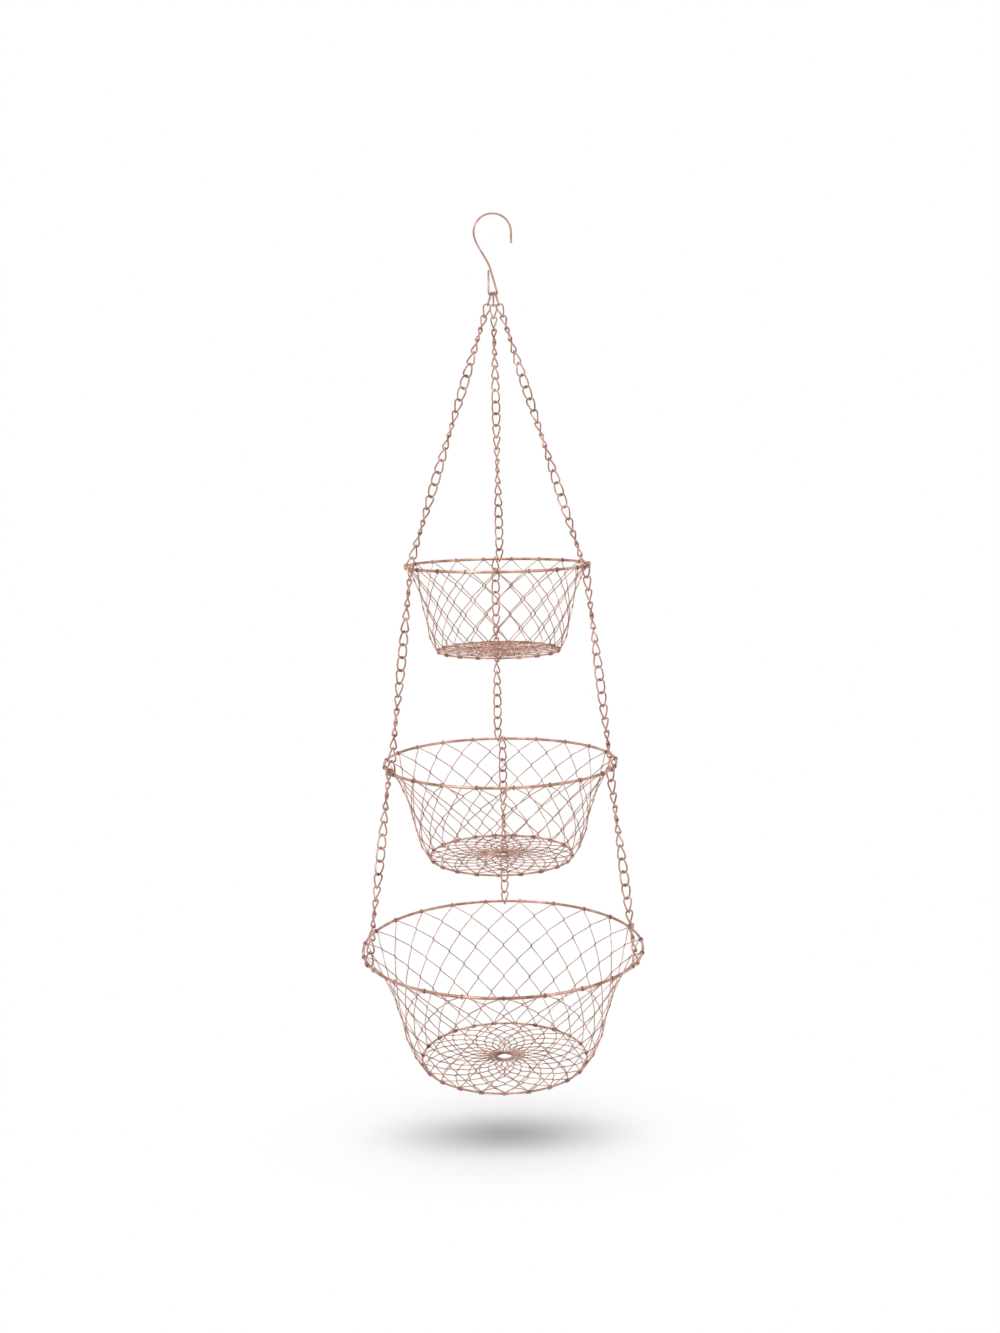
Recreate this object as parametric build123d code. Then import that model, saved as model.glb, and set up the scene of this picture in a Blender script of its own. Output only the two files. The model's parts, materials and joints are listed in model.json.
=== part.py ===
from build123d import *
from dataclasses import dataclass
from math import atan2, cos, degrees, pi, radians, sin, sqrt
import os

# A three-tier hanging basket in copper-coloured wire. One bent hook carries three twisted-link chains,
# and the chains carry three round baskets, the smallest at the top. Each basket is a net of thin wire
# between a stout rim and a base ring, with a flat net across the base ring.
# The origin is where the hook rests on its support, +Z is up and +Y is the back.
# Millimetres. All wires are facetted, with the section area of the round wire they stand for.

# Wire gauges
rim_wire = 3.0
base_wire = 2.0
net_wire = 1.0
link_wire = 1.8
hook_wire = 2.2

# Baskets: outside diameters of the rims, centreline diameters of the base rings, and depths
top_rim_diameter = 203.2
middle_rim_diameter = 254.0
bottom_rim_diameter = 304.8
top_base_diameter = 132.0
middle_base_diameter = 154.0
bottom_base_diameter = 178.0
top_depth = 92.0
middle_depth = 101.0
bottom_depth = 121.0

# Net: meshes around each basket, half-mesh rows down its wall, the width of a twisted knot, and the turn
# of each net from the back as a share of a mesh, which keeps its heads on the rim clear of the chains
top_meshes = 19
middle_meshes = 21
bottom_meshes = 23
top_rows = 6
middle_rows = 7
bottom_rows = 8
knot_width = 2.2
top_turn_share = 0.0
middle_turn_share = 0.36
bottom_turn_share = 0.0

# Shape of every wall: (share of the drop, share of the flare still left at that drop)
wall_shares = ((0.08, 0.80), (0.27, 0.57), (0.55, 0.37), (0.84, 0.20))

# Base net: where its one row of knots lies between hub and ring, and the strands' pitch at the hub
base_knot_share = 0.66
hub_strand_pitch = 1.9

# Chain links: free length and width inside, a quarter turn of twist from end to end, and the slow turn
# from link to link. The head of each chain is one plain link, so that three fit side by side in the eye.
link_inner_length = 13.75
link_inner_width = 6.4
link_twist = 90.0
link_drift = 21.0
end_flat_share = 0.42
shoulder_share = 0.76
top_links = 23
middle_links = 16
bottom_links = 15
plain_heads = 1

# Hook: centreline radius and sweep of the crown, drops below the seat, and the closed eye
crown_radius = 20.3
crown_sweep = 194.0
tip_drop = 32.0
eye_drop = 87.1
eye_length = 27.0
eye_width = 9.8
eye_corner = 1.5

# Clearances
link_slack = 0.15
seat_clearance = 0.2
end_clearance = 0.15
head_clearance = 0.85
rim_link_clearance = 3.4

# Facets: sides of each section, segments of each ring and samples of each hook stretch
hook_sides = 6
rim_sides = 4
link_sides = 4
net_sides = 3
rim_segments = 29
crown_steps = 8
shank_steps = 4
corner_steps = 3
flat_share = 1e-6

# Chain attachments around each rim, as bearings about the hanging axis: one at the back, and one on each
# side, a number of the rim's straight stretches away from it, so that the front is the widest gap
side_chain_segments = 9
back_bearing = 90.0
left_bearing = back_bearing + 360 * side_chain_segments / rim_segments
right_bearing = back_bearing - 360 * side_chain_segments / rim_segments
chain_bearings = {"back": back_bearing, "left": left_bearing, "right": right_bearing}

link_pitch = link_inner_length - link_slack
up = Vector(0, 0, 1)


def facet_radius(wire, sides):
    """Corner radius of a section with flat sides and the area of the round wire."""
    return wire / 2 * sqrt(2 * pi / (sides * sin(2 * pi / sides)))


def facet_flat(wire, sides):
    """Distance from the centre of such a section to the middle of a side."""
    return facet_radius(wire, sides) * cos(pi / sides)


def polar(radius, bearing, height=0.0):
    """Point at a radius and a bearing in degrees about the hanging axis."""
    return Vector(radius * cos(radians(bearing)), radius * sin(radians(bearing)), height)


def panel(a, b, c, d):
    """One flat face over four corners, or two triangles where they are out of plane."""
    normal = (b - a).cross(c - a).normalized()
    if abs((d - a).dot(normal)) < flat_share * (c - a).length:
        return [Face(Wire.make_polygon([a, b, c, d]))]
    return [Face(Wire.make_polygon([a, b, c])), Face(Wire.make_polygon([a, c, d]))]


def bent_wire(points, outwards, wire, sides, closed=False):
    """Facetted wire along straight stretches, mitred at each bend, one side facing outwards."""
    radius = facet_radius(wire, sides)
    last = len(points) - 1
    sections = []
    for index, point in enumerate(points):
        ahead = points[(index + 1) % len(points)] - point
        behind = point - points[index - 1]
        if not closed and index == 0:
            behind = ahead
        if not closed and index == last:
            ahead = behind
        ahead = ahead.normalized()
        behind = behind.normalized()
        along = (ahead + behind).normalized()
        outward = (outwards[index] - along * outwards[index].dot(along)).normalized()
        sideways = along.cross(outward)
        bend = ahead - behind
        mitre = 1 / along.dot(ahead) - 1
        section = []
        for side in range(sides):
            angle = 2 * pi * (side + 1 / 2) / sides
            corner = outward * (radius * cos(angle)) + sideways * (radius * sin(angle))
            if bend.length > flat_share:
                corner += bend.normalized() * (corner.dot(bend.normalized()) * mitre)
            section.append(point + corner)
        sections.append(section)
    faces = []
    for index in range(len(points) if closed else last):
        near = sections[index]
        far = sections[(index + 1) % len(points)]
        for side in range(sides):
            after = (side + 1) % sides
            faces += panel(near[side], near[after], far[after], far[side])
    if not closed:
        faces.append(Face(Wire.make_polygon(sections[0])))
        faces.append(Face(Wire.make_polygon(sections[last])))
    return Solid(Shell(faces))


def wire_ring(radius, height, wire, sides, segments, first_bearing):
    """Closed ring of wire about the hanging axis, with its first bend at a bearing."""
    bearings = [first_bearing + 360 * index / segments for index in range(segments)]
    points = [polar(radius, bearing, height) for bearing in bearings]
    outwards = [polar(radius, bearing) for bearing in bearings]
    return bent_wire(points, outwards, wire, sides, closed=True)


def chain_drop(links, run, upper_wire, lower_wire):
    """Height that a stretch of chain spans between the centres of the two wires it links."""
    reach = links * link_pitch + link_slack - (upper_wire + lower_wire) / 2 - 2 * seat_clearance
    return sqrt(reach**2 - run**2)


@dataclass(frozen=True)
class Tier:
    """One basket and the three chain stretches that carry it."""

    name: str
    rim_diameter: float
    base_diameter: float
    depth: float
    meshes: int
    rows: int
    turn_share: float
    links: int
    upper_wire: float
    upper_radius: float
    upper_height: float

    @property
    def rim_radius(self):
        return (self.rim_diameter - rim_wire) / 2

    @property
    def seat_radius(self):
        return self.rim_radius * cos(pi / rim_segments)

    @property
    def base_radius(self):
        return self.base_diameter / 2

    @property
    def rim_height(self):
        run = self.seat_radius - self.upper_radius
        return self.upper_height - chain_drop(self.links, run, self.upper_wire, rim_wire)

    @property
    def base_height(self):
        return self.rim_height - self.depth

    @property
    def mesh_angle(self):
        return 360 / self.meshes

    @property
    def net_bearing(self):
        return back_bearing + self.mesh_angle * self.turn_share

    def knot_bearing(self, row):
        return self.net_bearing + self.mesh_angle * (row + 1) / 2


eye_height = -eye_drop
top = Tier(
    "top", top_rim_diameter, top_base_diameter, top_depth, top_meshes, top_rows, top_turn_share,
    top_links, hook_wire, 0.0, eye_height,
)
middle = Tier(
    "middle", middle_rim_diameter, middle_base_diameter, middle_depth, middle_meshes, middle_rows,
    middle_turn_share, middle_links, rim_wire, top.seat_radius, top.rim_height,
)
bottom = Tier(
    "bottom", bottom_rim_diameter, bottom_base_diameter, bottom_depth, bottom_meshes, bottom_rows,
    bottom_turn_share, bottom_links, rim_wire, middle.seat_radius, middle.rim_height,
)
tiers = (top, middle, bottom)


def hook_route():
    """Bends of the hook's wire, from the tip over the crown and round the eye to its other end."""
    crown_height = hook_wire / 2 - crown_radius
    half_eye = eye_width / 2
    tip = Vector(crown_radius, -tip_drop)
    crown = CenterArc((0, crown_height), crown_radius, 0, crown_sweep)
    floor_right = Vector(half_eye, eye_height)
    floor_left = Vector(-half_eye, eye_height)
    shoulder = Vector(-half_eye / 2, eye_height + eye_length)
    free_end = shoulder - Vector(hook_wire + end_clearance, 0)
    lean = (floor_right - shoulder).normalized()
    shank = Spline(crown @ 1, shoulder, tangents=(crown % 1, lean))
    eye = FilletPolyline(shoulder, floor_right, floor_left, free_end, radius=eye_corner)
    route = [tip]
    route += [crown @ (step / crown_steps) for step in range(crown_steps + 1)]
    route += [shank @ (step / shank_steps) for step in range(1, shank_steps + 1)]
    for edge in eye.edges():
        steps = corner_steps if edge.geom_type == GeomType.CIRCLE else 1
        route += [edge @ (step / steps) for step in range(1, steps + 1)]
    return [Vector(point.X, 0, point.Y) for point in route]


def hook():
    """Hook bent from one wire: open crown, sloping shank and a closed eye with a flat floor."""
    route = hook_route()
    return bent_wire(route, [Vector(0, 1, 0)] * len(route), hook_wire, hook_sides)


def chain_link(twist):
    """Oval link about its own axis, twisted by an angle from its upper end to its lower end."""
    half_length = (link_inner_length + link_wire) / 2
    half_width = (link_inner_width + link_wire) / 2
    end_flat = half_width * end_flat_share
    shoulder = half_length - half_width * shoulder_share
    outline = [(end_flat, half_length), (half_width, shoulder)]
    outline += [(across, -height) for across, height in reversed(outline)]
    outline += [(-across, height) for across, height in reversed(outline)]
    points = []
    for across, height in outline:
        turned = twist * (half_length - height) / (2 * half_length)
        points.append(polar(across, turned, height))
    return bent_wire(points, points, link_wire, link_sides, closed=True)


def across(direction, axis):
    """Unit part of a direction that is square to an axis."""
    return (direction - axis * direction.dot(axis)).normalized()


def chain(start, end, upper_wire, lower_wire, start_bow, end_bow, links, heads):
    """Row of links from one wire to another; each end bow lies in the direction given for it.

    Where the chain leans along the upper wire, its bow rides higher, so that its edge clears the wire.
    """
    plain = chain_link(0.0)
    twisted = chain_link(link_twist)
    axis = (start - end).normalized()
    lean = abs(axis.dot(start_bow.cross(up)))
    seat = (upper_wire + link_wire * lean) / 2 + seat_clearance
    first = start + axis * (seat - link_inner_length / 2)
    final = end - axis * (lower_wire / 2 + seat_clearance - link_inner_length / 2)
    forward = across(start_bow, axis)
    sideways = axis.cross(forward)
    end_across = across(end_bow, axis)
    lead = link_twist * heads
    steps = links - 1 - heads
    end_angle = degrees(atan2(end_across.dot(sideways), end_across.dot(forward))) - link_twist - lead
    half_turns = round((link_drift * steps - end_angle) / 180)
    drift = (end_angle + 180 * half_turns) / steps
    row = []
    for index in range(links):
        turned = radians(lead + drift * (index - heads)) if index >= heads else 0.0
        place = Plane(
            origin=first + (final - first) * (index / (links - 1)),
            x_dir=forward * cos(turned) + sideways * sin(turned),
            z_dir=axis,
        )
        row.append((twisted if index >= heads else plain).moved(place.location))
    return Compound(children=row)


def rim_point(tier, bearing, side):
    """Centre of a rim's wire where a chain holds it, to one side of the bearing."""
    tangent = polar((link_wire + rim_link_clearance) / 2 * side, bearing + 90)
    return polar(tier.seat_radius, bearing, tier.rim_height) + tangent


def eye_point(bearing):
    """Centre of the eye's floor where a chain hangs; the three chains hang side by side."""
    side = round(cos(radians(bearing)) / cos(radians(right_bearing)))
    return Vector(side * (link_wire + head_clearance), 0, eye_height)


def chain_ends(tier_index, bearing):
    """Upper and lower ends of a chain stretch, and the bow direction at its upper end."""
    tier = tiers[tier_index]
    outward = polar(1, bearing)
    if tier_index == 0:
        return eye_point(bearing), rim_point(tier, bearing, -1), Vector(0, 1, 0)
    side = 1 if tier_index % 2 else -1
    return rim_point(tiers[tier_index - 1], bearing, side), rim_point(tier, bearing, side), outward


def rim(tier):
    """Stout rim wire, with the middle of a straight stretch at each chain."""
    first = back_bearing + 180 / rim_segments
    return wire_ring(tier.rim_radius, tier.rim_height, rim_wire, rim_sides, rim_segments, first)


def base_ring(tier):
    """Ring at the foot of the wall, with a bend at each of the wall's last knots."""
    first = tier.knot_bearing(tier.rows)
    return wire_ring(tier.base_radius, tier.base_height, base_wire, rim_sides, tier.meshes, first)


def wall_profile(tier):
    """Half section of the wall, from under the rim to the outside of the base ring."""
    net_reach = facet_radius(net_wire, net_sides) + seat_clearance
    start_drop = facet_flat(rim_wire, rim_sides) + net_reach
    end_radius = tier.base_radius + facet_flat(base_wire, rim_sides) + net_reach
    flare = tier.rim_radius - end_radius
    fall = tier.depth - start_drop
    points = [Vector(tier.rim_radius, tier.rim_height - start_drop)]
    for drop_share, flare_share in wall_shares:
        height = tier.rim_height - start_drop - fall * drop_share
        points.append(Vector(end_radius + flare * flare_share, height))
    points.append(Vector(end_radius, tier.base_height))
    return Spline(*points)


def net_wire_run(tier, profile, lean):
    """One zigzag wire of the wall. It leans to one side, beside its neighbour at each knot."""
    points = []
    outwards = []
    for row in range(tier.rows + 1):
        place = profile.position_at(profile.length * row / tier.rows, PositionMode.LENGTH)
        column = tier.mesh_angle / 2 * (1 + lean * (row % 2))
        bearing = tier.net_bearing + column
        beside = lean if row % 2 == 0 else -lean
        shift = degrees(beside * knot_width / 2 / place.X)
        points.append(polar(place.X, bearing + shift, place.Y))
        outwards.append(polar(1, bearing + shift))
    return bent_wire(points, outwards, net_wire, net_sides)


def side_net(tier):
    """Wall net: two zigzag wires a mesh, each running from the rim to the base ring."""
    profile = wall_profile(tier)
    wires = []
    for lean in (1, -1):
        wire = net_wire_run(tier, profile, lean)
        wires += [Rot(0, 0, tier.mesh_angle * index) * wire for index in range(tier.meshes)]
    return Compound(children=wires)


def base_net(tier):
    """Flat net across the base ring: a row of meshes, then strands that gather at the hub."""
    strand = net_wire
    thickness = pi / 4 * net_wire
    floor = tier.base_height + facet_flat(base_wire, rim_sides) + seat_clearance
    hub_radius = tier.meshes * hub_strand_pitch / (2 * pi)
    edge_radius = tier.base_radius - strand / 2
    knot_radius = hub_radius + (edge_radius - hub_radius) * base_knot_share
    first = tier.knot_bearing(tier.rows)
    half = tier.mesh_angle / 2
    edge_mesh = [polar(edge_radius, -half), polar(edge_radius, half), polar(knot_radius, 0)]
    long_mesh = [polar(edge_radius, half), polar(knot_radius, 2 * half), polar(hub_radius, half)]
    long_mesh += [polar(knot_radius, 0)]
    holes = []
    for outline in (edge_mesh, long_mesh):
        mesh = offset(Face(Wire.make_polygon(outline)), -strand / 2, kind=Kind.INTERSECTION)
        hole = mesh.face().outer_wire()
        for index in range(tier.meshes):
            holes.append(Rot(0, 0, first + half + tier.mesh_angle * index) * hole)
    corners = [polar(tier.base_radius, first + tier.mesh_angle * index) for index in range(tier.meshes)]
    net = Face(Wire.make_polygon(corners), holes)
    return Pos(0, 0, floor) * extrude(net, thickness, dir=up)


def write(name, shape):
    """Write one named piece."""
    export_step(shape, f"parts/{name}.step")


os.makedirs("parts", exist_ok=True)
write("hook", hook())
for tier_index, tier in enumerate(tiers):
    for place, bearing in chain_bearings.items():
        start, end, start_bow = chain_ends(tier_index, bearing)
        heads = plain_heads if tier_index == 0 else 0
        end_bow = polar(1, bearing)
        row = chain(start, end, tier.upper_wire, rim_wire, start_bow, end_bow, tier.links, heads)
        write(f"{tier.name}_chain_{place}", row)
    write(f"{tier.name}_rim", rim(tier))
    write(f"{tier.name}_base_ring", base_ring(tier))
    write(f"{tier.name}_side_net", side_net(tier))
    write(f"{tier.name}_base_net", base_net(tier))
    print(tier.name, "rim height", round(tier.rim_height, 3), "base", round(tier.base_height, 3))
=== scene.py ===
import json
from dataclasses import dataclass
from math import atan2, cos, pi, radians, sin, tan

import bpy
from mathutils import Matrix, Vector


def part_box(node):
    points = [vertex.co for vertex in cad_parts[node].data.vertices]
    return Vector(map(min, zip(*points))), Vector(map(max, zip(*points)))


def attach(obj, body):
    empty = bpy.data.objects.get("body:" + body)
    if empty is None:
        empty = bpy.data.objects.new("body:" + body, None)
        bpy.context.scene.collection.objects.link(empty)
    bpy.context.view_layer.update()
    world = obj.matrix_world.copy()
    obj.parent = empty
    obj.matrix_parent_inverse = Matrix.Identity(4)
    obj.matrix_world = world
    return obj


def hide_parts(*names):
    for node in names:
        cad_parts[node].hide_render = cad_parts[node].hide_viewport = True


# A three-tier hanging basket in rose-coloured copper wire: one bent hook, chains of twisted links, and
# three round baskets of knotted wire net. Metres, origin where the hook rests, +Z up, +Y at the back.

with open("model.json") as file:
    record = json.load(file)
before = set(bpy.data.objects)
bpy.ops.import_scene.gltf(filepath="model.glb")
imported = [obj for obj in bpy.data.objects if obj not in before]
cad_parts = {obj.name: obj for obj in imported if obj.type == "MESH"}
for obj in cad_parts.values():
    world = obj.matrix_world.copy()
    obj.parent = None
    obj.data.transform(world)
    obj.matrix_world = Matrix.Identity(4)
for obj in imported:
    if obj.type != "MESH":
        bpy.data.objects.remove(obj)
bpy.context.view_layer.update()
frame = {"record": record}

mm = 0.001
up = Vector((0, 0, 1))

# Wire gauges
rim_wire = 3.0 * mm
base_wire = 2.0 * mm
net_wire = 1.0 * mm
link_wire = 1.8 * mm
hook_wire = 2.2 * mm
hub_wire = 1.6 * mm

# Links: inner size, rounding of the ends as a share of the width, twist from end to end, and about how far
# each link turns from the one above
link_inner_length = 13.75 * mm
link_inner_width = 6.4 * mm
link_rounding = 0.499
link_twist = radians(90)
link_drift = radians(21)

# Seats: room of a link on the wire that holds it, gap between the chain heads in the eye, gap between the
# two chains that meet on a rim, and the side of the eye that each upper chain hangs on
seat_clearance = 0.42 * mm
head_clearance = 0.85 * mm
rim_link_clearance = 3.4 * mm
head_sides = {"back": 0, "left": -1, "right": 1}

# Bearings of the chains: straight stretches of the solid rims, all round and from the back to a side chain
rim_segments = 29
side_chain_segments = 9
chain_gap = 2 * pi * side_chain_segments / rim_segments
chain_bearings = {"back": pi / 2, "left": pi / 2 + chain_gap, "right": pi / 2 - chain_gap}

# Hook: crown, drops of its tip and eye below the seat, the eye's size and bends, and the free end's gap
crown_radius = 20.3 * mm
crown_sweep = radians(194)
tip_drop = 32.0 * mm
eye_drop = 87.1 * mm
eye_length = 27.0 * mm
eye_width = 9.8 * mm
eye_corner = 1.5 * mm
end_clearance = 0.15 * mm

# Knots: how far a bend hooks past its neighbour, how tight it is, and how the wire's points crowd there
hook_reach = 0.55 * mm
bend_tightness = 0.5 * mm
knot_crowding = 1.8

# Wraps: room round the ring, distance between the two strands of a knot on a ring and on the hub, half that
# distance for the base net's outer wraps, sideways step of each wrap, and angles at which each starts and
# ends, from outwards towards up
wrap_clearance = 0.05 * mm
strand_pitch = 1.08 * mm
hub_strand_pitch = 1.1 * mm
floor_wrap_offset = 1.85 * mm
wrap_pitch = 0.2 * mm
rim_wrap_turn = (radians(-150), radians(180))
foot_wrap_turn = (0.0, radians(-310))
floor_wrap_turn = (radians(-200), radians(90))
hub_wrap_turn = (radians(90), radians(330))

# Half sections: points down a wall as shares of its drop and of its flare outside the base ring, and the
# base net's rows of knots as shares of the way from the hub out to the base ring
wall_shares = ((0.08, 0.80), (0.27, 0.57), (0.55, 0.37), (0.84, 0.20))
floor_shares = (0.88, 0.76, 0.64, 0.52, 0.41, 0.30, 0.19)

# Steps along each wire and sides round it
hook_spacing = 0.5 * mm
hook_sides = 14
crown_steps = 40
shank_steps = 24
corner_steps = 6
link_corner_points = 8
link_points = 32
link_sides = 8
wall_curve_steps = 24
net_steps = 16
net_sides = 6
wrap_steps = 12
rim_steps = 144
rim_sides = 12
base_steps = 120
base_sides = 10
hub_steps = 48
hub_sides = 8

# Copper: sizes and detail of its patches and grain, tones from brown to rose (partly the metal's browner
# patina, partly painted dark reflections and painted highlights), depth of the grain, and its dullness with
# what the grain adds to it
patch_scale = 55.0
patch_detail = 3.0
grain_scale = 1400.0
grain_detail = 2.0
speckle = 0.6
patina_and_painted_reflection_tones = (
    (0.30, (0.245, 0.125, 0.092, 1)),
    (0.50, (0.47, 0.265, 0.204, 1)),
    (0.72, (0.715, 0.49, 0.418, 1)),
)
grain_strength = 0.25
grain_depth = 0.05 * mm
least_dullness = 0.24
grain_dullness = 0.16

# Floor: its level and reach, half width and half depth of the matt oval where it keeps shade and of the
# core of a soft shadow painted into its colour, and tones of that painted shadow and of the floor
floor_level = -0.998
floor_reach = 3.0
shade_size = (0.30, 0.15)
painted_shadow_core = (0.19, 0.072)
painted_shadow_tone = (0.51, 0.51, 0.51, 1)
floor_tone = (0.97, 0.97, 0.97, 1)
white = (1, 1, 1, 1)

# Light: strength of the surround, place, width and power of each lamp, and the point that they face
surround_light = 0.72
lamps = {
    "key_lamp": ((-1.3, -1.7, 0.9), 1.2, 12.0),
    "fill_lamp": ((1.6, -1.2, 0.2), 1.4, 6.0),
    "top_lamp": ((0.0, 0.2, 1.6), 1.2, 12.0),
}
lamp_aim = Vector((0, 0, -0.55))

# Camera: place and roll, film width and focal length in millimetres, shift of the frame, and nearest view
camera_place = (0.0045, -1.4884, -0.2767)
camera_roll = 0.0152
film_width = 36.0
focal_length = 37.05
frame_shift = -0.148
nearest_view = 0.05


@dataclass(frozen=True)
class Basket:
    """One tier: its rings, its net and the chains that carry it.

    The net has meshes round it, half-mesh rows down its wall, and a turn from the back as a share of a
    mesh. The plain links, at the top of each chain, aren't twisted.
    """

    name: str
    rim_radius: float
    base_radius: float
    meshes: int
    turn_share: float
    rows: int
    links: int
    plain_links: int

    @property
    def rim_height(self):
        low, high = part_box(f"{self.name}_rim")
        return (low[2] + high[2]) / 2

    @property
    def base_height(self):
        low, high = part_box(f"{self.name}_base_ring")
        return (low[2] + high[2]) / 2

    @property
    def seat_radius(self):
        """Distance of a chain's seat from the axis, midway on a straight stretch of the solid rim."""
        return self.rim_radius * cos(pi / rim_segments)

    @property
    def mesh_angle(self):
        return 2 * pi / self.meshes

    @property
    def wall_bearing(self):
        """Bearing of one knot of the wall net on the rim."""
        return chain_bearings["back"] + self.mesh_angle * (1 / 2 + self.turn_share)

    @property
    def floor_bearing(self):
        """Bearing of one knot of the wall net, and so of the base net, on the base ring."""
        return self.wall_bearing + self.mesh_angle * (self.rows % 2) / 2


baskets = (
    Basket(
        "top", rim_radius=100.1 * mm, base_radius=66.0 * mm, meshes=19, turn_share=0.0, rows=6,
        links=23, plain_links=1,
    ),
    Basket(
        "middle", rim_radius=125.5 * mm, base_radius=77.0 * mm, meshes=21, turn_share=0.36, rows=7,
        links=16, plain_links=0,
    ),
    Basket(
        "bottom", rim_radius=150.9 * mm, base_radius=89.0 * mm, meshes=23, turn_share=0.0, rows=8,
        links=15, plain_links=0,
    ),
)


class Value:
    """Output of a node, on which sums are written as plain expressions."""

    def __init__(self, graph, socket):
        self.graph = graph
        self.socket = socket

    def __add__(self, other):
        return self.graph.call("ADD", self, other)

    def __radd__(self, other):
        return self.graph.call("ADD", other, self)

    def __sub__(self, other):
        return self.graph.call("SUBTRACT", self, other)

    def __rsub__(self, other):
        return self.graph.call("SUBTRACT", other, self)

    def __mul__(self, other):
        return self.graph.call("MULTIPLY", self, other)

    def __rmul__(self, other):
        return self.graph.call("MULTIPLY", other, self)

    def __truediv__(self, other):
        return self.graph.call("DIVIDE", self, other)

    def __rtruediv__(self, other):
        return self.graph.call("DIVIDE", other, self)

    def __pow__(self, other):
        return self.graph.call("POWER", self, other)

    def __mod__(self, other):
        return self.graph.call("FLOORED_MODULO", self, other)

    def __gt__(self, other):
        return self.graph.call("GREATER_THAN", self, other)

    def __lt__(self, other):
        return self.graph.call("LESS_THAN", self, other)


class Outputs:
    """Outputs of one node, by name or place."""

    def __init__(self, graph, node):
        self.graph = graph
        self.node = node

    def __getitem__(self, key):
        return Value(self.graph, self.node.outputs[key])


class Graph:
    """A node tree, filled through one method."""

    def __init__(self, tree):
        self.tree = tree

    def add(self, kind, settings=None, inputs=None):
        """Add a node: first its settings, then the value or link of each named socket."""
        node = self.tree.nodes.new(kind)
        for name, value in (settings or {}).items():
            if name == "stops":
                stops = node.color_ramp.elements
                for place, (position, colour) in enumerate(value):
                    stop = stops[place] if place < len(stops) else stops.new(position)
                    stop.position = position
                    stop.color = colour
            else:
                setattr(node, name, value)
        for name, value in (inputs or {}).items():
            several = value if isinstance(value, list) else [value]
            for single in several:
                if isinstance(single, Value):
                    self.tree.links.new(single.socket, node.inputs[name])
                else:
                    node.inputs[name].default_value = single
        return Outputs(self, node)

    def call(self, operation, *terms):
        """One Math node."""
        return self.add("ShaderNodeMath", {"operation": operation}, dict(enumerate(terms)))[0]

    def vector(self, x, y, z):
        """Vector from three numbers."""
        return self.add("ShaderNodeCombineXYZ", None, {"X": x, "Y": y, "Z": z})[0]

    def parts(self, vector):
        """The three numbers of a vector, by their letters."""
        return self.add("ShaderNodeSeparateXYZ", None, {0: vector})

    def clamped(self, value):
        """Value held between nought and one."""
        return self.add("ShaderNodeClamp", None, {"Value": value})[0]


def bare_graph(owner):
    """Empty node tree of a material or of the surround."""
    owner.use_nodes = True
    owner.node_tree.nodes.clear()
    return Graph(owner.node_tree)


class Pattern(Graph):
    """A geometry node tree with named inputs for its sizes."""

    kinds = {int: "NodeSocketInt", float: "NodeSocketFloat", Vector: "NodeSocketVector"}

    def __init__(self, name, sizes):
        super().__init__(bpy.data.node_groups.new(name, "GeometryNodeTree"))
        sockets = self.tree.interface
        sockets.new_socket("Geometry", in_out="INPUT", socket_type="NodeSocketGeometry")
        sockets.new_socket("Geometry", in_out="OUTPUT", socket_type="NodeSocketGeometry")
        self.names = {}
        for label, kind in sizes.items():
            socket = sockets.new_socket(label, in_out="INPUT", socket_type=self.kinds[kind])
            self.names[label] = socket.identifier
        material = sockets.new_socket("Material", in_out="INPUT", socket_type="NodeSocketMaterial")
        self.names["Material"] = material.identifier
        self.given = self.add("NodeGroupInput")

    def size(self, label):
        """Value of one named input."""
        return self.given[label]

    def tube(self, curve, wire, sides, caps=False, swell=1.0):
        """Round wire along a curve, with or without caps; swell scales its gauge."""
        section = self.add(
            "GeometryNodeCurvePrimitiveCircle",
            {"mode": "RADIUS"},
            {"Resolution": sides, "Radius": wire / 2},
        )["Curve"]
        return self.add(
            "GeometryNodeCurveToMesh",
            None,
            {"Curve": curve, "Profile Curve": section, "Scale": swell, "Fill Caps": caps},
        )[0]

    def close(self, pieces):
        """End of the tree: real, smooth faces with the material."""
        joined = self.add("GeometryNodeJoinGeometry", None, {"Geometry": pieces})[0]
        real = self.add("GeometryNodeRealizeInstances", None, {"Geometry": joined})[0]
        smooth = self.add("GeometryNodeSetShadeSmooth", None, {"Geometry": real})[0]
        finished = self.add(
            "GeometryNodeSetMaterial", None, {"Geometry": smooth, "Material": self.size("Material")}
        )[0]
        self.add("NodeGroupOutput", None, {"Geometry": finished})

    def make(self, name, sizes, material, start=None):
        """Run the tree on a starting curve, or on nothing, and keep the result as a plain mesh object."""
        holder = bpy.data.objects.new(name + "_start", start or bpy.data.meshes.new(name + "_start"))
        bpy.context.scene.collection.objects.link(holder)
        modifier = holder.modifiers.new(name, "NODES")
        modifier.node_group = self.tree
        for label, value in sizes.items():
            modifier[self.names[label]] = value
        modifier[self.names["Material"]] = material
        view = bpy.context.evaluated_depsgraph_get()
        mesh = bpy.data.meshes.new_from_object(holder.evaluated_get(view), depsgraph=view)
        mesh.name = name
        piece = bpy.data.objects.new(name, mesh)
        bpy.context.scene.collection.objects.link(piece)
        holder.modifiers.remove(modifier)
        bpy.data.objects.remove(holder)
        return piece


def polar(radius, bearing, height=0.0):
    """Point at a radius and bearing about the hanging axis."""
    return Vector((radius * cos(bearing), radius * sin(bearing), height))


def across(direction, axis):
    """Unit part of a direction that is square to an axis."""
    return (direction - axis * direction.dot(axis)).normalized()


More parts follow.
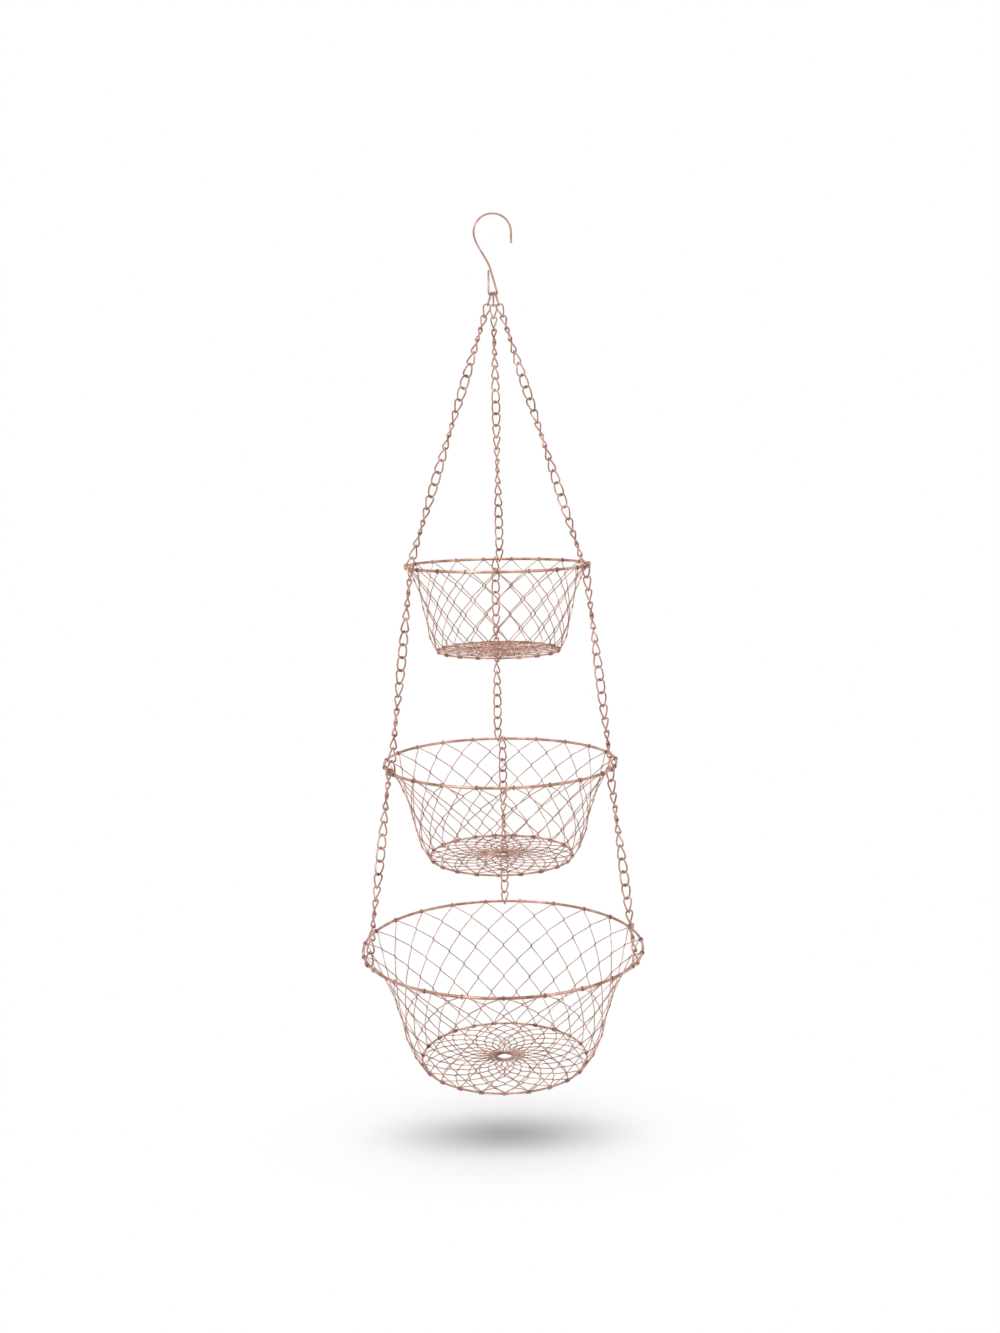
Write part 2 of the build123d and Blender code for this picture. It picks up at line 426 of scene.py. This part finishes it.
def open_line(name, points, kind="POLY"):
    """Open curve through points; BEZIER bends smoothly through them."""
    line = bpy.data.curves.new(name, "CURVE")
    line.dimensions = "3D"
    spline = line.splines.new(kind)
    if kind == "BEZIER":
        spline.bezier_points.add(len(points) - 1)
        for knot, point in zip(spline.bezier_points, points):
            knot.co = point
            knot.handle_left_type = "AUTO"
            knot.handle_right_type = "AUTO"
        spline.resolution_u = wall_curve_steps
    else:
        spline.points.add(len(points) - 1)
        for knot, point in zip(spline.points, points):
            knot.co = (*point, 1)
    return line


def copper_wire():
    """Rose-copper plated steel wire: warm pink metal with browner and rosier patches, partly patina and
    partly painted dark reflections and painted highlights, and a faint drawn grain.
    """
    material = bpy.data.materials.new("rose_copper_wire")
    graph = bare_graph(material)
    place = graph.add("ShaderNodeTexCoord")["Object"]
    patches, grain = (
        graph.add(
            "ShaderNodeTexNoise",
            None,
            {"Vector": place, "Scale": scale, "Detail": detail, "Roughness": speckle},
        )["Fac"]
        for scale, detail in ((patch_scale, patch_detail), (grain_scale, grain_detail))
    )
    # brown-to-rose tone over the random patches: partly patina, partly painted dark reflections and painted
    # highlights
    patina_and_painted_reflection = graph.add("ShaderNodeValToRGB", {"stops": patina_and_painted_reflection_tones}, {"Fac": patches})["Color"]
    relief = graph.add(
        "ShaderNodeBump", None, {"Strength": grain_strength, "Distance": grain_depth, "Height": grain}
    )["Normal"]
    surface = graph.add(
        "ShaderNodeBsdfPrincipled",
        None,
        {
            "Base Color": patina_and_painted_reflection,
            "Metallic": 1.0,
            "Roughness": least_dullness + grain_dullness * grain,
            "Normal": relief,
        },
    )["BSDF"]
    graph.add("ShaderNodeOutputMaterial", None, {"Surface": surface})
    return material


def flat_link(graph):
    """Closed oval of one link before its twist, long along y and evenly divided."""
    size = graph.size
    outline = graph.add(
        "GeometryNodeCurvePrimitiveQuadrilateral",
        {"mode": "RECTANGLE"},
        {"Width": size("Width"), "Height": size("Length")},
    )[0]
    oval = graph.add(
        "GeometryNodeFilletCurve",
        {"mode": "POLY"},
        {"Curve": outline, "Count": link_corner_points, "Radius": size("Width") * link_rounding},
    )[0]
    return graph.add(
        "GeometryNodeResampleCurve", {"mode": "COUNT"}, {"Curve": oval, "Count": size("Points")}
    )[0]


def chain_pattern():
    """Row of interlinked oval links, each twisted end to end, turning slowly down the chain."""
    graph = Pattern(
        "link chain",
        {
            "First link": Vector, "Last link": Vector, "Axis": Vector, "Forward": Vector, "Links": int,
            "Plain links": int, "Lead": float, "Drift": float, "Length": float, "Width": float,
            "Wire": float, "Twist": float, "Points": int, "Sides": int,
        },
    )
    size = graph.size
    oval = flat_link(graph)
    place = graph.parts(graph.add("GeometryNodeInputPosition")[0])
    rows = graph.add(
        "GeometryNodeMeshLine",
        {"mode": "END_POINTS", "count_mode": "TOTAL"},
        {"Count": size("Links"), "Start Location": size("First link"), "Offset": size("Last link")},
    )[0]
    index = graph.add("GeometryNodeInputIndex")[0]
    twisted = index > (size("Plain links") - 0.5)
    turned = (size("Lead") + size("Drift") * (index - size("Plain links"))) * twisted
    upright = graph.add(
        "FunctionNodeAxesToRotation",
        {"primary_axis": "Z", "secondary_axis": "X"},
        {"Primary Axis": size("Axis"), "Secondary Axis": size("Forward")},
    )[0]
    turn = graph.add("FunctionNodeAxisAngleToRotation", None, {"Axis": up, "Angle": turned})[0]
    heading = graph.add(
        "FunctionNodeRotateRotation", {"rotation_space": "LOCAL"}, {"Rotation": upright, "Rotate By": turn}
    )[0]
    pieces = []
    for twist, chosen in ((size("Twist"), twisted), (0.0, 1 - twisted)):
        angle = twist * (0.5 - place["Y"] / size("Length"))
        bent = graph.vector(
            place["X"] * graph.call("COSINE", angle), place["X"] * graph.call("SINE", angle), place["Y"]
        )
        shaped = graph.add("GeometryNodeSetPosition", None, {"Geometry": oval, "Position": bent})[0]
        link = graph.tube(shaped, size("Wire"), size("Sides"))
        pieces.append(
            graph.add(
                "GeometryNodeInstanceOnPoints",
                None,
                {"Points": rows, "Selection": chosen, "Instance": link, "Rotation": heading},
            )[0]
        )
    graph.close(pieces)
    return graph


def points_at_origin(graph, count):
    """Row of a number of points, all at the origin."""
    return graph.add("GeometryNodeMeshLine", {"mode": "OFFSET"}, {"Count": count, "Offset": (0, 0, 0)})[0]


def knot_rows(graph, past_start):
    """Nearest knot of each point on a net wire, and its distance from it in rows, plain and with a sign.

    The points crowd together beside a knot.
    """
    run_points = graph.size("Rows") * graph.size("Steps")
    along = graph.call("MINIMUM", graph.call("MAXIMUM", past_start, 0.0), run_points)
    step = along / graph.size("Steps")
    knot = graph.call("FLOOR", step + 0.5)
    loose = step - knot
    near = (graph.call("ABSOLUTE", loose) * 2) ** knot_crowding * 0.5
    return knot, near, near * graph.call("SIGN", loose)


def section_place(graph, path, row):
    """Point of a half section at a row, and the run from one row to the next, outwards, up and in all."""
    leeway = 0.00001
    position = graph.add("GeometryNodeInputPosition")[0]
    first = graph.call("MINIMUM", graph.call("FLOOR", row + leeway), graph.size("Rows") - 1)
    here, there = (
        graph.parts(
            graph.add(
                "GeometryNodeSampleIndex",
                {"data_type": "FLOAT_VECTOR", "domain": "POINT"},
                {"Geometry": path, "Value": position, "Index": first + offset},
            )[0]
        )
        for offset in (0.0, 1.0)
    )
    share = row - first
    run_out = there["X"] - here["X"]
    run_up = there["Z"] - here["Z"]
    length = graph.call("SQRT", run_out * run_out + run_up * run_up)
    return here["X"] + run_out * share, here["Z"] + run_up * share, run_out, run_up, length


def zigzag_share(graph, knot, near, tight_rows):
    """Share of half a mesh by which a wire stands aside: nought at one knot, one at the next."""
    half_row = 0.5
    rounded = graph.call("SQRT", near * near + tight_rows * tight_rows) - tight_rows
    widest = graph.call("SQRT", half_row**2 + tight_rows * tight_rows) - tight_rows
    odd = knot % 2.0
    return odd + (1 - 2 * odd) * (rounded * (half_row / widest))


def knot_lift(graph, beside, slope):
    """How far a wire rises off the net, to one side before a knot and to the other side after it."""
    reach = graph.size("Reach")
    tightness = graph.size("Tightness")
    crossing = reach / slope + tightness
    crossing = graph.call("SQRT", crossing * crossing - tightness * tightness)
    part = beside / crossing
    return reach * part * graph.call("EXPONENT", 0.5 - 0.5 * part * part)


def wrap_place(graph, end, share):
    """Distance out and height of a point on the wrap at one end of a wire, at a share of its turn."""
    size = graph.size
    angle = size(end + " from") + (size(end + " to") - size(end + " from")) * share
    out = size(end + " radius") + size(end + " wrap") * graph.call("COSINE", angle)
    high = size(end + " height") + size(end + " wrap") * graph.call("SINE", angle)
    return out, high


def net_pattern():
    """Net of zigzag wires about the hanging axis, hooked at each knot and wrapped at both ends.

    The starting curve gives the wires' path as a half section, x outwards and z up.
    """
    graph = Pattern(
        "wire net",
        {
            "Meshes": int, "Rows": int, "Bearing": float, "Wire": float, "Reach": float, "Tightness": float,
            "Steps": int, "Sides": int, "Wrap steps": int, "Wrap pitch": float, "Start offset": float,
            "End offset": float, "Start radius": float, "Start height": float, "Start wrap": float,
            "Start from": float, "Start to": float, "End radius": float, "End height": float,
            "End wrap": float, "End from": float, "End to": float, "Even rows": int,
        },
    )
    size = graph.size
    rows = size("Rows")
    half_mesh = pi / size("Meshes")
    start = graph.given["Geometry"]
    even = graph.add("GeometryNodeResampleCurve", {"mode": "COUNT"}, {"Curve": start, "Count": rows + 1})[0]
    path = graph.add(
        "GeometryNodeSwitch", {"input_type": "GEOMETRY"}, {0: size("Even rows"), 1: start, 2: even}
    )[0]
    index = graph.add("GeometryNodeInputIndex")[0]
    run_points = rows * size("Steps")
    past_start = index - size("Wrap steps")
    past_end = past_start - run_points
    knot, near, beside = knot_rows(graph, past_start)
    row = knot + beside
    radius, height, run_out, run_up, length = section_place(graph, path, row)

    zigzag = zigzag_share(graph, knot, near, size("Tightness") / length)
    inner_row = graph.clamped(graph.call("MINIMUM", row, rows - row) * 2)
    inner_knot = graph.clamped(graph.call("MINIMUM", knot, rows - knot))
    lift = knot_lift(graph, beside * length, radius * half_mesh / length) * inner_knot
    first_half = row < (rows / 2)
    own_side = first_half * size("Start offset") + (1 - first_half) * size("End offset")
    tip = size("Reach") * inner_row - own_side * (1 - inner_row)
    aside = radius * half_mesh * zigzag + tip * (2 * zigzag - 1)

    start_share = graph.clamped(index / size("Wrap steps"))
    start_out, start_high = wrap_place(graph, "Start", start_share)
    start_aside = size("Start offset") + size("Wrap pitch") * (1 - start_share)
    end_share = graph.clamped(past_end / size("Wrap steps"))
    end_out, end_high = wrap_place(graph, "End", end_share)
    end_gap = size("End offset") + size("Wrap pitch") * end_share
    end_odd = rows % 2.0
    end_aside = end_odd * half_mesh * radius + (1 - 2 * end_odd) * end_gap
    at_start = past_start < -0.5
    at_end = past_end > 0.5
    between = 1 - at_start - at_end

    line = points_at_origin(graph, run_points + 2 * size("Wrap steps") + 1)
    turns = points_at_origin(graph, size("Meshes"))
    turn = graph.add(
        "FunctionNodeAxisAngleToRotation", None, {"Axis": up, "Angle": 2 * half_mesh * index}
    )[0]
    pieces = []
    for lean in (1.0, -1.0):
        out = radius - lean * lift * run_up / length
        high = height + lean * lift * run_out / length
        radial = start_out * at_start + end_out * at_end + out * between
        level = start_high * at_start + end_high * at_end + high * between
        side = lean * (start_aside * at_start + end_aside * at_end + aside * between)
        bearing = size("Bearing") + side / radius
        spot = graph.vector(
            radial * graph.call("COSINE", bearing), radial * graph.call("SINE", bearing), level
        )
        bent = graph.add("GeometryNodeSetPosition", None, {"Geometry": line, "Position": spot})[0]
        curve = graph.add("GeometryNodeMeshToCurve", None, {"Mesh": bent})[0]
        wire = graph.tube(curve, size("Wire"), size("Sides"), caps=True)
        pieces.append(
            graph.add(
                "GeometryNodeInstanceOnPoints", None, {"Points": turns, "Instance": wire, "Rotation": turn}
            )[0]
        )
    graph.close(pieces)
    return graph


def ring_pattern():
    """Closed ring of round wire about the hanging axis."""
    graph = Pattern(
        "wire ring", {"Radius": float, "Height": float, "Wire": float, "Segments": int, "Sides": int}
    )
    size = graph.size
    circle = graph.add(
        "GeometryNodeCurvePrimitiveCircle",
        {"mode": "RADIUS"},
        {"Resolution": size("Segments"), "Radius": size("Radius")},
    )[0]
    rise = graph.vector(0.0, 0.0, size("Height"))
    lifted = graph.add("GeometryNodeSetPosition", None, {"Geometry": circle, "Offset": rise})[0]
    graph.close([graph.tube(lifted, size("Wire"), size("Sides"))])
    return graph


def rod_pattern():
    """Round wire along a bent route, with its two cut ends rounded over."""
    tip_share = 0.0001
    graph = Pattern("bent wire", {"Wire": float, "Spacing": float, "Sides": int})
    size = graph.size
    even = graph.add(
        "GeometryNodeResampleCurve",
        {"mode": "LENGTH"},
        {"Curve": graph.given["Geometry"], "Length": size("Spacing")},
    )[0]
    along = graph.add("GeometryNodeSplineParameter")["Length"]
    whole = graph.add("GeometryNodeSplineLength")["Length"]
    end = graph.clamped(graph.call("MINIMUM", along, whole - along) / (size("Wire") / 2))
    swell = graph.call("SQRT", graph.clamped((1 + tip_share) - (1 - end) ** 2.0))
    graph.close([graph.tube(even, size("Wire"), size("Sides"), caps=True, swell=swell)])
    return graph


def rounded_corner(before, corner, after, radius):
    """Points of a rounded bend between two straight runs."""
    inward = (before - corner).normalized()
    onward = (after - corner).normalized()
    half = inward.angle(onward) / 2
    centre = corner + (inward + onward).normalized() * (radius / sin(half))
    start = (corner + inward * (radius / tan(half)) - centre).normalized()
    end = (corner + onward * (radius / tan(half)) - centre).normalized()
    return [centre + start.slerp(end, step / corner_steps) * radius for step in range(corner_steps + 1)]


def swept(start, first, second, end, share):
    """Point at a share of a smooth sweep from start to end, led by two handles."""
    back = 1 - share
    return start * back**3 + first * (3 * back**2 * share) + second * (3 * back * share**2) + end * share**3


def hook_route():
    """Centreline of the hook's wire, from its tip over the crown and round the eye."""
    centre = Vector((0, 0, hook_wire / 2 - crown_radius))
    crown = []
    for step in range(crown_steps + 1):
        turn = crown_sweep * step / crown_steps
        crown.append(centre + Vector((crown_radius * cos(turn), 0, crown_radius * sin(turn))))
    half_eye = eye_width / 2
    right = Vector((half_eye, 0, -eye_drop))
    left = Vector((-half_eye, 0, -eye_drop))
    shoulder = Vector((-half_eye / 2, 0, eye_length - eye_drop))
    free_end = shoulder - Vector((hook_wire + end_clearance, 0, 0))
    leave = Vector((-sin(crown_sweep), 0, cos(crown_sweep)))
    arrive = (right - shoulder).normalized()
    handle = (shoulder - crown[-1]).length / 3
    first = crown[-1] + leave * handle
    second = shoulder - arrive * handle
    route = [Vector((crown_radius, 0, -tip_drop))] + crown
    route += [
        swept(crown[-1], first, second, shoulder, step / shank_steps) for step in range(1, shank_steps + 1)
    ]
    route += rounded_corner(shoulder, right, left, eye_corner)
    route += rounded_corner(right, left, free_end, eye_corner)
    route.append(free_end)
    return route


def rim_point(basket, bearing, side):
    """Centre of a rim's wire where a chain holds it, to one side of the bearing."""
    tangent = polar((link_wire + rim_link_clearance) / 2 * side, bearing + pi / 2)
    return polar(basket.seat_radius, bearing, basket.rim_height) + tangent


def chain_ends(tier, place):
    """Upper and lower ends of a chain, and the way its upper bow faces."""
    bearing = chain_bearings[place]
    side = 1 if tier % 2 else -1
    end = rim_point(baskets[tier], bearing, side)
    if tier == 0:
        start = Vector((head_sides[place] * (link_wire + head_clearance), 0, -eye_drop))
        return start, end, Vector((0, 1, 0))
    return rim_point(baskets[tier - 1], bearing, side), end, polar(1, bearing)


def chain_sizes(tier, place):
    """Named sizes of one chain."""
    basket = baskets[tier]
    start, end, start_bow = chain_ends(tier, place)
    upper_wire = hook_wire if tier == 0 else rim_wire
    axis = (start - end).normalized()
    lean = abs(axis.dot(start_bow.cross(up)))
    seat = (upper_wire + link_wire * lean) / 2 + seat_clearance
    first = start + axis * (seat - link_inner_length / 2)
    final = end - axis * (rim_wire / 2 + seat_clearance - link_inner_length / 2)
    forward = across(start_bow, axis)
    sideways = axis.cross(forward)
    end_across = across(polar(1, chain_bearings[place]), axis)
    lead = link_twist * basket.plain_links
    steps = basket.links - 1 - basket.plain_links
    end_angle = atan2(end_across.dot(sideways), end_across.dot(forward)) - link_twist - lead
    half_turns = round((link_drift * steps - end_angle) / pi)
    return {
        "First link": first, "Last link": final, "Axis": axis, "Forward": forward,
        "Links": basket.links, "Plain links": basket.plain_links, "Lead": lead,
        "Drift": (end_angle + pi * half_turns) / steps, "Length": link_inner_length + link_wire,
        "Width": link_inner_width + link_wire, "Wire": link_wire, "Twist": link_twist,
        "Points": link_points, "Sides": link_sides,
    }


def wrap_radius(ring_wire):
    """Distance from the middle of a ring's wire to the middle of a net wire wrapped round it."""
    return (ring_wire + net_wire) / 2 + wrap_clearance


def end_sizes(end, offset, radius, height, wrap, turn):
    """Named sizes of the wraps at one end of a net's wires."""
    return {
        end + " offset": offset, end + " radius": radius, end + " height": height, end + " wrap": wrap,
        end + " from": turn[0], end + " to": turn[1],
    }


def net_sizes():
    """Named sizes that every net shares."""
    return {
        "Wire": net_wire, "Reach": hook_reach, "Tightness": bend_tightness, "Steps": net_steps,
        "Sides": net_sides, "Wrap steps": wrap_steps, "Wrap pitch": wrap_pitch,
    }


def wall_section(basket):
    """Half section of a wall net, from the rim to the base ring."""
    foot_radius = basket.base_radius + wrap_radius(base_wire)
    flare = basket.rim_radius - foot_radius
    drop = basket.rim_height - basket.base_height
    points = [Vector((basket.rim_radius - wrap_radius(rim_wire), 0, basket.rim_height))]
    for drop_share, flare_share in wall_shares:
        points.append(Vector((foot_radius + flare * flare_share, 0, basket.rim_height - drop * drop_share)))
    points.append(Vector((foot_radius, 0, basket.base_height)))
    return open_line(basket.name + "_wall", points, "BEZIER")


def floor_section(basket, hub_radius, level):
    """Half section of a base net, from the base ring in to the hub."""
    span = basket.base_radius - hub_radius
    radii = [basket.base_radius]
    radii += [hub_radius + span * share for share in floor_shares]
    radii.append(hub_radius)
    return open_line(basket.name + "_floor", [Vector((radius, 0, level)) for radius in radii])


bodies = {
    node: body for body, nodes in frame["record"]["behaviour"]["bodies"].items() for node in nodes
}
copper = copper_wire()
chains = chain_pattern()
nets = net_pattern()
rings = ring_pattern()
rods = rod_pattern()


def install(piece, node):
    """Let a made piece stand for its solid and move with it."""
    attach(piece, bodies[node])
    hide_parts(node)


def hook():
    """One bent wire: crown, sloping shank and eye."""
    sizes = {"Wire": hook_wire, "Spacing": hook_spacing, "Sides": hook_sides}
    install(rods.make("hook_bent_wire", sizes, copper, open_line("hook_line", hook_route())), "hook")


def chain(tier, place):
    """One stretch of links down to a tier's rim."""
    node = f"{baskets[tier].name}_chain_{place}"
    install(chains.make(node + "_links", chain_sizes(tier, place), copper), node)


def ring(name, radius, height, wire, steps, sides):
    """One ring of wire, not yet installed."""
    sizes = {"Radius": radius, "Height": height, "Wire": wire, "Segments": steps, "Sides": sides}
    return rings.make(name, sizes, copper)


def rim(basket):
    """Stout ring that the net and the chains hang on."""
    name = basket.name + "_rim"
    made = ring(name + "_ring", basket.rim_radius, basket.rim_height, rim_wire, rim_steps, rim_sides)
    install(made, name)


def base_ring(basket):
    """Thinner ring at the foot of the wall."""
    name = basket.name + "_foot_ring"
    made = ring(name, basket.base_radius, basket.base_height, base_wire, base_steps, base_sides)
    install(made, basket.name + "_base_ring")


def wall_net(basket):
    """Net of the wall, wrapped round the rim and the base ring."""
    sizes = net_sizes() | {
        "Meshes": basket.meshes, "Rows": basket.rows, "Bearing": basket.wall_bearing, "Even rows": 1,
    }
    sizes |= end_sizes(
        "Start", strand_pitch / 2, basket.rim_radius, basket.rim_height, wrap_radius(rim_wire),
        rim_wrap_turn,
    )
    sizes |= end_sizes(
        "End", strand_pitch / 2, basket.base_radius, basket.base_height, wrap_radius(base_wire),
        foot_wrap_turn,
    )
    net = nets.make(basket.name + "_wall_net", sizes, copper, wall_section(basket))
    install(net, basket.name + "_side_net")


def base_net(basket):
    """Net across the base ring, wrapped round it and round a small hub ring in the middle."""
    base_wrap = wrap_radius(base_wire)
    hub_wrap = wrap_radius(hub_wire)
    hub_radius = basket.meshes * hub_strand_pitch / pi + hub_wrap
    level = basket.base_height + base_wrap
    hub_height = level - hub_wrap
    sizes = net_sizes() | {
        "Meshes": basket.meshes, "Rows": len(floor_shares) + 1, "Bearing": basket.floor_bearing,
        "Even rows": 0,
    }
    sizes |= end_sizes(
        "Start", floor_wrap_offset, basket.base_radius, basket.base_height, base_wrap, floor_wrap_turn
    )
    sizes |= end_sizes("End", hub_strand_pitch / 2, hub_radius, hub_height, hub_wrap, hub_wrap_turn)
    section = floor_section(basket, hub_radius, level)
    net = nets.make(basket.name + "_floor_net", sizes, copper, section)
    hub = ring(basket.name + "_hub_ring", hub_radius, hub_height, hub_wire, hub_steps, hub_sides)
    install(net, basket.name + "_base_net")
    install(hub, basket.name + "_base_net")


def shade(graph, place, size):
    """Soft oval on the floor, from nought in its middle to one at its edge."""
    width, depth = size
    flat = (place["X"] / width) ** 2.0 + (place["Y"] / depth) ** 2.0
    return graph.add(
        "ShaderNodeMapRange", {"interpolation_type": "SMOOTHSTEP"}, {"Value": graph.call("SQRT", flat)}
    )[0]


def backdrop():
    """Pale floor, matt near the baskets where it keeps their shadow and has a soft shadow painted into its
    colour, fading to plain white further out.
    """
    mesh = bpy.data.meshes.new("studio_floor")
    corners = [(-1, -1), (1, -1), (1, 1), (-1, 1)]
    points = [(floor_reach * x, floor_reach * y, floor_level) for x, y in corners]
    mesh.from_pydata(points, [], [(0, 1, 2, 3)])
    floor = bpy.data.objects.new("studio_floor", mesh)
    bpy.context.scene.collection.objects.link(floor)
    material = bpy.data.materials.new("studio_white")
    graph = bare_graph(material)
    place = graph.parts(graph.add("ShaderNodeTexCoord")["Object"])
    # painted shadow: the floor's colour turns grey in a soft oval under the baskets, whatever the lamps do
    painted_shadow_falloff = shade(graph, place, painted_shadow_core)
    fade = shade(graph, place, shade_size)
    # floor colour with the painted shadow mixed in
    floor_tone_with_painted_shadow = graph.add("ShaderNodeMix", {"data_type": "RGBA"}, {0: painted_shadow_falloff, 6: painted_shadow_tone, 7: floor_tone})[2]
    matt = graph.add("ShaderNodeBsdfDiffuse", None, {"Color": floor_tone_with_painted_shadow})[0]
    glow = graph.add("ShaderNodeEmission", None, {"Color": white, "Strength": 1.0})[0]
    mixed = graph.add("ShaderNodeMixShader", None, {0: fade, 1: matt, 2: glow})[0]
    graph.add("ShaderNodeOutputMaterial", None, {"Surface": mixed})
    mesh.materials.append(material)


def surround():
    """White all round: full where it is seen or mirrored, a little dimmer in the light that it sheds."""
    world = bpy.data.worlds.new("studio_surround")
    graph = bare_graph(world)
    ray = graph.add("ShaderNodeLightPath")
    seen = graph.call(
        "MAXIMUM",
        graph.call("MAXIMUM", ray["Is Camera Ray"], ray["Is Glossy Ray"]),
        ray["Is Transmission Ray"],
    )
    strength = seen + surround_light * (1 - seen)
    glow = graph.add("ShaderNodeBackground", None, {"Color": white, "Strength": strength})[0]
    graph.add("ShaderNodeOutputWorld", None, {"Surface": glow})
    bpy.context.scene.world = world


def soft_lamp(name, place, width, power):
    """Round soft lamp that faces the baskets."""
    lamp = bpy.data.lights.new(name, "AREA")
    lamp.shape = "DISK"
    lamp.size = width
    lamp.energy = power
    holder = bpy.data.objects.new(name, lamp)
    aim = (lamp_aim - Vector(place)).to_track_quat("-Z", "Y")
    holder.matrix_world = Matrix.Translation(place) @ aim.to_matrix().to_4x4()
    bpy.context.scene.collection.objects.link(holder)


def camera():
    """Level camera in front of the baskets, rolled a little, with its frame shifted down."""
    lens = bpy.data.cameras.new("front_camera")
    lens.sensor_width = film_width
    lens.lens = focal_length
    lens.shift_y = frame_shift
    lens.clip_start = nearest_view
    holder = bpy.data.objects.new("front_camera", lens)
    holder.location = camera_place
    holder.rotation_euler = (pi / 2, camera_roll, 0)
    bpy.context.scene.collection.objects.link(holder)
    bpy.context.scene.camera = holder


hook()
for tier, basket in enumerate(baskets):
    for place in chain_bearings:
        chain(tier, place)
    rim(basket)
    base_ring(basket)
    wall_net(basket)
    base_net(basket)

backdrop()
surround()
for name, (place, width, power) in lamps.items():
    soft_lamp(name, place, width, power)
camera()
bpy.context.scene.view_settings.view_transform = "Standard"
